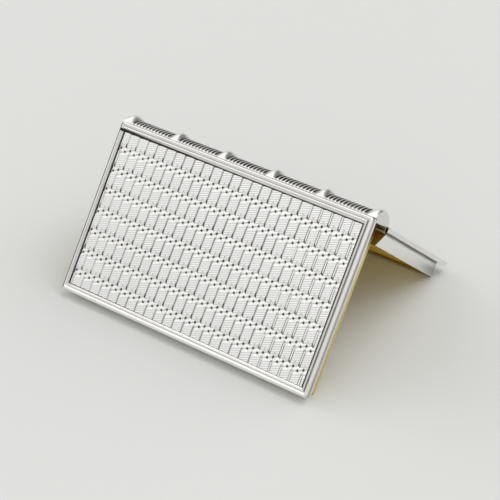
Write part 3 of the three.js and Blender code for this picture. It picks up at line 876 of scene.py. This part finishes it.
def reeded_spine_tree(sizes, counts):
    """A bowed back along X with raised bands and rounded reeds between them, on a flat inner side."""
    tree, given = shape_tree("reeded_spine", sizes, counts)
    arc_steps = given["Arc steps"]
    band = given["Band width"]
    cut = given["Band end cut"]
    mesh, station, step = numbered_grid(tree, given["Stations"], arc_steps + 4)
    along_spine = station / given["Stations"] * given["Length"]
    place = along_spine % (band + given["Panel length"])
    band_end = band + STATION_SLACK
    in_band = place < band_end
    first = along_spine < band
    last = along_spine > given["Length"] - band_end
    turn = place / band * (1 - cut * (first + last)) + cut * first
    swell = arch(turn) ** BAND_SWELL
    in_reed = fraction((place - band) / given["Reed pitch"])
    flute = arch(in_reed)
    rise = choose(in_band, swell * given["Band height"], (1 - flute * flute) * given["Reed height"])
    # Tarnish and painted shade in each flute
    flute_tarnish_and_shade = clamped((DARK_FLUTE_HALF - abs(in_reed - DARK_FLUTE_MIDDLE)) / DARK_FLUTE_EDGE)
    # Painted shade on the right half of each band, darkest at its foot
    band_shaded_side = (1 - swell) ** 2 * (turn > 0.5)

    along = (step < arc_steps + 0.5) * (step / arc_steps)
    reaches = clamped((1 - along) / CLEAN_HEAD_REACH - CLEAN_HEAD)
    hollow = reaches * choose(in_band, band_shaded_side, flute_tarnish_and_shade)
    roundness = REED_ROUNDNESS + in_band * (BAND_ROUNDNESS - REED_ROUNDNESS)
    reach = given["Arc radius"] + rise * arch(along) ** roundness
    angle = given["Arc start"] + along * given["Arc turn"]
    arc_y = given["Arc centre Y"] + reach * angle.work("COSINE")
    arc_z = given["Arc centre Z"] + reach * angle.work("SINE")
    notch, inner_top, heel = [at(step, arc_steps + past_arc) for past_arc in (1, 2, 3)]
    x = along_spine - given["Length"] / 2
    y = choose(notch, given["Head Y"], choose(inner_top + heel, given["Inner Y"], arc_y))
    z = choose(heel, given["Heel Z"], choose(notch + inner_top, given["Root Z"], arc_z))
    end_shape(tree, given, hollowed(tree, mesh, hollow, x, y, z))
    return tree


def reeded_spine():
    """The spine in the lid's frame: an arc from the foot near the hinge to the head on the front cover."""
    low, high = local_box(lid_place, "spine")
    cover_end = local_box(lid_place, "front_cover")[1].y
    bezel_top = local_box(lid_place, "lid_bezel")[1].z
    foot = Vector((low.y + SPINE_FOOT_INSET, low.z))
    head = Vector((cover_end + SPINE_HEAD_GAP, high.z))
    chord = head - foot
    radius = (chord.length_squared / 4 + SPINE_BULGE ** 2) / (2 * SPINE_BULGE)
    outward = Vector((chord.y, -chord.x)).normalized()
    centre = (foot + head) / 2 + outward * (SPINE_BULGE - radius)
    half_turn = math.asin(chord.length / 2 / radius)
    length = high.x - low.x
    panel_length = REEDS_PER_PANEL * REED_PITCH
    sizes = {
        "Length": length, "Panel length": panel_length,
        "Band width": (length - (SPINE_BANDS - 1) * panel_length) / SPINE_BANDS,
        "Band end cut": BAND_END_CUT, "Band height": BAND_HEIGHT,
        "Reed pitch": REED_PITCH, "Reed height": REED_HEIGHT,
        "Arc centre Y": centre.x, "Arc centre Z": centre.y, "Arc radius": radius,
        "Arc start": math.atan2(outward.y, outward.x) - half_turn, "Arc turn": 2 * half_turn,
        "Head Y": head.x, "Root Z": bezel_top, "Inner Y": low.y, "Heel Z": low.z + SPINE_HEEL}
    counts = {"Stations": round(length / REED_PITCH * REED_STEPS), "Arc steps": SPINE_ARC_STEPS}
    tree = reeded_spine_tree(sizes, counts)
    shape = merged(grown_mesh(tree, sizes | counts | {"Material": SILVER}))
    bmesh.ops.holes_fill(shape, edges=[edge for edge in shape.edges if edge.is_boundary], sides=0)
    return shade(mesh_of(shape, [SILVER], lid_place), 40)


def softened(node, materials, choose_material=None):
    """A merged copy of a CAD node with its edges eased."""
    shape = merged(frame["nodes"][node].data)
    bmesh.ops.dissolve_limit(shape, angle_limit=math.radians(1), verts=shape.verts, edges=shape.edges)
    ease_edges(shape, 25, EASED_EDGE, 2)
    bmesh.ops.recalc_face_normals(shape, faces=shape.faces)
    if choose_material:
        for face in shape.faces:
            face.material_index = materials.index(choose_material(face))
    return shade(mesh_of(shape, materials), 35)


def stained_and_shaded(mesh, place, axis, marks, left_of=math.inf):
    """Grime and painted shade along one axis of a half's frame: marks give places along it, in order, and the
    darkness there.

    It joins darkening that the mesh has already and can keep to the points left of a place.
    """
    shape = shape_of(mesh)
    aim = place.to_3x3().col[axis]
    for mark in marks:
        cut_across(shape, place.translation + aim * mark[0], aim)
    shape.to_mesh(mesh)
    shape.free()
    back = place.inverted()
    layer = mesh.attributes.get("hollow") or mesh.attributes.new("hollow", "FLOAT", "POINT")
    for vertex, spot in zip(mesh.vertices, layer.data):
        point = back @ vertex.co
        depth = marks[0][1]
        for (start, before), (end, after) in zip(marks, marks[1:]):
            share = min(1.0, max(0.0, (point[axis] - start) / (end - start)))
            depth += share * (after - before)
        if point.x < left_of:
            spot.value = max(spot.value, depth)
    return mesh


def turned_piece(node, half, bored, material, place):
    """A round piece along X where a CAD node lies.

    Half of its profile is given, as radius, distance from the end and how dark it is made there; the other
    end mirrors it.
    """
    low, high = local_box(place, node)
    middle = (low + high) / 2
    profile = [(radius, low.x + from_end, grime) for radius, from_end, grime in half]
    profile += [(radius, high.x - from_end, grime) for radius, from_end, grime in reversed(half)]
    rings = []
    depths = []
    for radius, along, grime in profile:
        ring = []
        for step in range(ROUND_STEPS):
            turn = 2 * math.pi * step / ROUND_STEPS
            ring.append((along, middle.y + radius * math.cos(turn), middle.z + radius * math.sin(turn)))
        rings.append(ring)
        depths += [grime] * ROUND_STEPS
    return skin_with_hollows(rings, depths, bored, material, place, 35)


def hinge_tube(node, bore, material, place):
    """A hinge tube with eased ends, where a CAD tube lies; its end faces and bore are darkened as painted
    shade.
    """
    radius = round_radius(place, node)
    edge = TUBE_EDGE
    half = [(bore, edge, BORE_SHADE), (bore + edge, 0.0, BORE_SHADE)]
    half += [(radius - edge, 0.0, TUBE_END_SHADE), (radius, edge, TUBE_GRIME)]
    return turned_piece(node, half, True, material, place)


def hinge_rod(node, place):
    """A hinge pin with slightly domed ends."""
    radius = round_radius(place, node)
    half = [(share * radius, rise * PIN_DOME, grime) for share, rise, grime in PIN_END]
    return turned_piece(node, half, False, STEEL, place)


def pierced_grille_tree(sizes, counts):
    """Cuts rows of four-petalled flowers, with an eyelet between each two, through a plate."""
    tree, given = shape_tree("pierced_grille", sizes, counts, takes_mesh=True)
    steps = given["Steps"]
    depth = given["Cut depth"]
    blank = Node(tree, "GeometryNodeMeshCylinder", Vertices=steps, Radius=1.0, Depth=depth)["Mesh"]
    point = point_place(tree)
    half_length = (given["Petal end"] - given["Petal start"]) / 2
    centre = (given["Petal end"] + given["Petal start"]) / 2
    side = point["Y"] * abs(point["Y"]) * (given["Petal spread"] / 2)
    place = Node(tree, "ShaderNodeCombineXYZ", centre + point["X"] * half_length, side, point["Z"])[0]
    petal = Node(tree, "GeometryNodeSetPosition", Geometry=blank, Position=place)["Geometry"]
    flower = Node(tree, "GeometryNodeJoinGeometry")
    for quarter in range(4):
        turn = (0.0, 0.0, (quarter + 0.5) * math.pi / 2)
        turned = Node(tree, "GeometryNodeTransform", Geometry=petal, Rotation=turn)
        fill(flower.made, Geometry=turned["Geometry"])
    eyelet = Node(
        tree, "GeometryNodeMeshCylinder", Vertices=steps, Radius=given["Eyelet radius"], Depth=depth)
    holes = Node(tree, "GeometryNodeJoinGeometry")
    rows = given["Rows"]
    for tool, fewer in ((flower["Geometry"], 0), (eyelet["Mesh"], 1)):
        columns = given["Columns"] - fewer
        grid = Node(tree, "GeometryNodeMeshGrid", Vertices_X=columns, Vertices_Y=rows,
                    Size_X=(columns - 1) * given["Pitch X"], Size_Y=(rows - 1) * given["Pitch Y"])
        set_out = Node(tree, "GeometryNodeInstanceOnPoints", Points=grid["Mesh"], Instance=tool)
        fill(holes.made, Geometry=set_out["Instances"])
    middle = Node(tree, "ShaderNodeCombineXYZ", Y=given["Middle Y"], Z=given["Middle Z"])[0]
    placed = Node(tree, "GeometryNodeTransform", Geometry=holes["Geometry"], Translation=middle)
    real = Node(tree, "GeometryNodeRealizeInstances", Geometry=placed["Geometry"])["Geometry"]
    pierced = Node(tree, "GeometryNodeMeshBoolean", operation="DIFFERENCE", solver="EXACT",
                   Mesh_1=given["Geometry"], Mesh_2=real)
    end_shape(tree, given, pierced["Mesh"])
    return tree


def pierced_grille():
    """The hinged grille in the box's frame, with eased edges round its piercings."""
    low, high = local_box(box_place, "grille")
    rings = [rounded_outline(low, high, level, corner=GRILLE_CORNER) for level in (low.z, high.z)]
    plate, loops = skin(rings, closed=False)
    middle = (low + high) / 2
    sizes = FLOWER_SIZES | {"Cut depth": 3 * (high.z - low.z), "Middle Y": middle.y, "Middle Z": middle.z}
    tree = pierced_grille_tree(sizes, FLOWER_COUNTS)
    values = sizes | FLOWER_COUNTS | {"Material": GILT}
    shape = merged(grown_mesh(tree, values, mesh_of(plate, [GILT])))
    ease_edges(shape, 60, GRILLE_EDGE, 1)
    return shade(mesh_of(shape, [GILT], box_place), 35)


def sponge_pad():
    """A dry sponge cut to the box's inside: crowned, drawn in at its sides and pitted with pores."""
    low, high = local_box(box_place, "sponge")
    size = high - low
    middle = (low + high) / 2
    counts = [max(2, round(length / SPONGE_STEP)) for length in size.xy] + [SPONGE_LAYERS]
    shape = bmesh.new()
    bmesh.ops.create_cube(shape, size=1.0)
    for axis in range(3):
        across = [e for e in shape.edges if abs((e.verts[0].co - e.verts[1].co)[axis]) > TINY]
        bmesh.ops.subdivide_edges(shape, edges=across, cuts=counts[axis] - 1, use_grid_fill=True)
    for vertex in shape.verts:
        unit = vertex.co * 2
        square = SPONGE_SQUARENESS
        corner = (abs(unit.x) ** square + abs(unit.y) ** square) ** (1 / square)
        if corner > 1:
            unit.x /= corner
            unit.y /= corner
        edge = max(abs(unit.x) ** SPONGE_EDGE_POWER, abs(unit.y) ** SPONGE_EDGE_POWER)
        crown = 1 - SPONGE_EDGE_DROP * edge - SPONGE_CROWN * (unit.x ** 2 + unit.y ** 2)
        inward = 1 - SPONGE_WAIST * (1 - unit.z ** 2)
        point = Vector((unit.x * inward, unit.y * inward, unit.z * (crown if unit.z > 0 else 1.0)))
        place = middle + Vector(point[axis] * size[axis] / 2 for axis in range(3))
        pit = max(0.0, noise.noise(place / PORE_SIZE) - PORE_FROM)
        lump = noise.noise(place / LUMP_SIZE)
        top = 1.0 if unit.z > 0.5 else 0.0
        outward = Vector((unit.x ** SPONGE_SIDE_POWER, unit.y ** SPONGE_SIDE_POWER, top))
        if outward.length > TINY:
            place -= outward.normalized() * (pit * PORE_DEPTH * 2 + (lump + 1) * PORE_DEPTH / 2)
        vertex.co = place
    return shade(mesh_of(shape, [SPONGE], box_place), 60)


# The two covers with their borders and panels

border_nodes = {
    "front": ["lid_border_fore", "lid_border_right", "lid_border_spine", "lid_border_left"],
    "back": ["base_border_fore", "base_border_left", "base_border_hinge", "base_border_right"],
}
facing_out = {"front": lid_place, "back": box_place @ Matrix.Rotation(math.pi, 4, "Y")}
covers = [
    ("front", "front_cover", "lid", "lid_bezel", FRONT_BORDER_WIDTHS, FRONT_BEAD_SHARES, FRONT_BORDER_GRIME_AND_SHADE),
    ("back", "back_cover", "box", "page_wall", BACK_BORDER_WIDTHS, BACK_BEAD_SHARES, BACK_BORDER_GRIME_AND_SHADE),
]
for side, cover_node, body, wall_node, widths, bead_shares, side_grime_and_shade in covers:
    place = facing_out[side]
    low, high = local_box(place, cover_node)
    plate = cover_plate(low, high, local_box(place, wall_node), place)
    add_piece(side + "_plate", plate, body, SILVER_SLOT, cover_node)
    add_piece(side + "_turning", turned_panel(low, high, widths, place), body, TURNED_SLOT)
    low, high = local_box(place, *border_nodes[side])
    ring = border_ring(low, high, widths, bead_shares, side_grime_and_shade, place)
    if side == "front":
        seam_marks = [(high.y - widths[1] + rise, grime) for rise, grime in CORNER_SEAM]
        ring = stained_and_shaded(ring, place, 1, seam_marks, low.x + widths[2])
    add_piece(side + "_border", ring, body, SILVER_SLOT, *border_nodes[side])

add_piece("reeded_spine", reeded_spine(), "lid", SILVER_SLOT, "spine")
# The bezel darkens towards the hinge: painted shade
bezel = stained_and_shaded(softened("lid_bezel", [PALE_GILT]), lid_place, 1, BEZEL_HINGE_SHADE)
add_piece("eased_bezel", bezel, "lid", GILT_SLOT, "lid_bezel")

# The page wall

wall_low, wall_high = local_box(box_place, "page_wall")


def wall_finish(face):
    """Silver outside the page wall, gilt inside, and gilt darkened as painted shade on its rim and where it
    faces the hinge.
    """
    back = box_place.inverted()
    centre = back @ face.calc_center_median() - (wall_low + wall_high) / 2
    normal = back.to_3x3() @ face.normal
    if normal.z > RIM_FACING or normal.y > HINGE_SIDE_FACING:
        return SHADED_GILT
    return GILT if normal.x * centre.x + normal.y * centre.y < -TINY else SILVER


# A dark line along the wall's foot, under the plate's overhang: painted shadow
foot_marks = [(wall_low.z + rise, grime) for rise, grime in WALL_FOOT_SHADE]
page_wall = softened("page_wall", [SILVER, GILT, SHADED_GILT], wall_finish)
page_wall = stained_and_shaded(page_wall, box_place, 2, foot_marks)
add_piece("eased_page_wall", page_wall, "box", SILVER_SLOT, "page_wall")

# Main hinge

main_bore = round_radius(box_place, "hinge_pin") + MAIN_PIN_PLAY
for body, place, count in (("lid", lid_place, 3), ("box", box_place, 4)):
    for number in range(1, count + 1):
        node = f"{body}_knuckle_{number}"
        tube = hinge_tube(node, main_bore, SILVER, place)
        add_piece(f"{body}_hinge_tube_{number}", tube, body, SILVER_SLOT, node)
add_piece("hinge_rod", hinge_rod("hinge_pin", box_place), "box", STEEL_SLOT, "hinge_pin")

# Grille, what carries it, and the sponge under it

add_piece("pierced_grille", pierced_grille(), "grille", GILT_SLOT, "grille")
small_bore = round_radius(box_place, "grille_pin") + GRILLE_PIN_PLAY
small_tubes = {"grille_bracket_left": "box", "grille_bracket_right": "box", "grille_knuckle": "grille"}
for node, body in small_tubes.items():
    add_piece(node + "_tube", hinge_tube(node, small_bore, GILT, box_place), body, GILT_SLOT, node)
add_piece("grille_rod", hinge_rod("grille_pin", box_place), "box", STEEL_SLOT, "grille_pin")
add_piece("eased_ledge", softened("grille_ledge", [GILT]), "box", GILT_SLOT, "grille_ledge")
add_piece("eased_tab", softened("grille_tab", [GILT]), "grille", GILT_SLOT, "grille_tab")
pad = add_piece("sponge_pad", sponge_pad(), "box", SPONGE_SLOT, "sponge")


# Table, light and camera


def pale_table():
    material, tree, shader = blank_material("pale_table")
    tone = mixed(tree, clouds(tree, object_place(tree), TABLE_CLOUDS, 2.0), *TABLE_TONES)
    fill(shader, Base_Color=tone, Roughness=0.9, Specular_IOR_Level=0.1)
    shape = bmesh.new()
    bmesh.ops.create_grid(shape, x_segments=1, y_segments=1, size=TABLE_HALF)
    table = bpy.data.objects.new("table", mesh_of(shape, [material]))
    bpy.context.scene.collection.objects.link(table)
    table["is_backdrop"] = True


def studio_world():
    """A room lit by broad soft windows; what mirrors in the metal is its pale walls and one dark doorway."""
    world = bpy.data.worlds.new("studio")
    bpy.context.scene.world = world
    world.use_nodes = True
    tree = world.node_tree
    tree.nodes.clear()
    direction = Node(tree, "ShaderNodeTexCoord")["Generated"]

    def facing(aim):
        return Node(tree, "ShaderNodeVectorMath", direction, aim, operation="DOT_PRODUCT")["Value"]

    def ramp(*limits):
        """A value that goes from one light to another between two limits."""
        return Node(tree, "ShaderNodeMapRange", *limits, interpolation_type="SMOOTHSTEP")[0]

    lit = ROOM_LIGHT
    for bearing, height, strength in SOFT_WINDOWS:
        flat = math.cos(math.radians(height))
        turn = math.radians(bearing)
        aim = (flat * math.cos(turn), flat * math.sin(turn), math.sin(math.radians(height)))
        lit = lit + larger(facing(aim), 0.0) ** WINDOW_SOFTNESS * strength
    walls = ramp(facing((0.0, 0.0, 1.0)), CEILING_FROM, CEILING_FULL, WALL_LIGHT, CEILING_LIGHT)
    doorway = ramp(facing(DARK_DOORWAY), DOORWAY_FROM, DOORWAY_FULL, 1.0, DOORWAY_LIGHT)
    ray = Node(tree, "ShaderNodeLightPath")
    seen = larger(larger(ray["Is Camera Ray"], ray["Is Glossy Ray"]), ray["Is Transmission Ray"])
    level = choose(seen, walls * doorway, lit)
    shine = Node(tree, "ShaderNodeBackground", Color=ROOM_COLOUR, Strength=level)[0]
    Node(tree, "ShaderNodeOutputWorld", Surface=shine)


def photo_camera():
    """Camera on the photograph's sight line, with its focal length and slight roll."""
    back = Vector((
        math.sin(CAMERA_BEARING) * math.cos(CAMERA_HEIGHT_ANGLE),
        -math.cos(CAMERA_BEARING) * math.cos(CAMERA_HEIGHT_ANGLE),
        math.sin(CAMERA_HEIGHT_ANGLE)))
    level = Vector((math.cos(CAMERA_BEARING), math.sin(CAMERA_BEARING), 0.0))
    upright = back.cross(level)
    place = back * CAMERA_DISTANCE + level * CAMERA_ASIDE + upright * CAMERA_RAISE
    right = level * math.cos(CAMERA_ROLL) - upright * math.sin(CAMERA_ROLL)
    up = level * math.sin(CAMERA_ROLL) + upright * math.cos(CAMERA_ROLL)
    lens = bpy.data.cameras.new("photo_camera")
    lens.sensor_width = SENSOR_WIDTH
    lens.lens = FOCAL_PIXELS * SENSOR_WIDTH / PHOTO_PIXELS
    lens.clip_start = CAMERA_NEAREST
    camera = bpy.data.objects.new("photo_camera", lens)
    bpy.context.scene.collection.objects.link(camera)
    turn = Matrix((right, up, back)).transposed().to_4x4()
    camera.matrix_world = Matrix.Translation(place) @ turn
    bpy.context.scene.camera = camera


pale_table()
studio_world()
photo_camera()
bpy.context.scene.view_settings.view_transform = "Standard"

bpy.context.view_layer.update()
low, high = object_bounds()
{"cad": [list(cad_low), list(cad_high)], "visual": [list(low), list(high)]}
